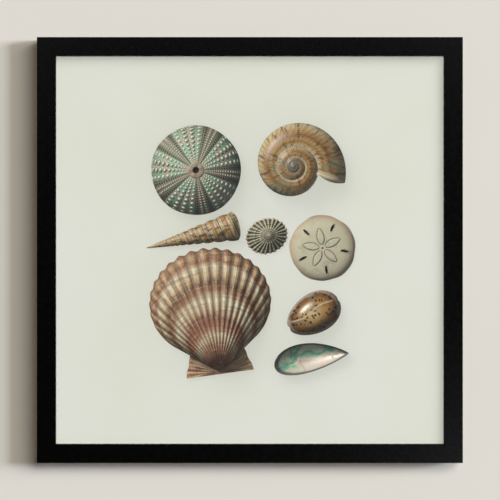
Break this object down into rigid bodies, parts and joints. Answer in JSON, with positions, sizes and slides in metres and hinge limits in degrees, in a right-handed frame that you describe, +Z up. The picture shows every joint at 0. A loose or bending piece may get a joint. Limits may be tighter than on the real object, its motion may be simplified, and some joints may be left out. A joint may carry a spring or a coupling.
{
  "type": "framed print",
  "caption": "Square black lacquered wood picture frame with clear glazing over a printed sheet of sea shells, backing board, holding tabs, sawtooth hanger and wall bumpers.",
  "frame": {"origin": "on the wall's surface, where the hanging nail leaves the wall and carries the sawtooth hanger's middle notch", "axes": "+Z up, +X to the right of someone facing the picture, +Y into the wall; the picture faces -Y"},
  "size_m": [0.426, 0.025, 0.426],
  "materials": {
    "frame": "satin black lacquer over fine-grained wood",
    "glazing": "clear, polished",
    "print": "matt coated paper, pale sage ground with printed sea shells",
    "backing": "plain hardboard with short fibres",
    "tab": "bright spring steel",
    "hanger": "brass-plated pressed steel",
    "bumper": "matt soft rubber"
  },
  "bodies": {
    "root": {"rail_top": "frame", "rail_right": "frame", "rail_bottom": "frame", "rail_left": "frame", "glazing": "glazing", "print_sheet": "print", "backing_board": "backing", "tab_top_a": "tab", "tab_top_b": "tab", "tab_right_a": "tab", "tab_right_b": "tab", "tab_bottom_a": "tab", "tab_bottom_b": "tab", "tab_left_a": "tab", "tab_left_b": "tab", "sawtooth_hanger": "hanger", "hanger_nail_left": "hanger", "hanger_nail_right": "hanger", "bumper_left": "bumper", "bumper_right": "bumper"}
  },
  "joints": []
}
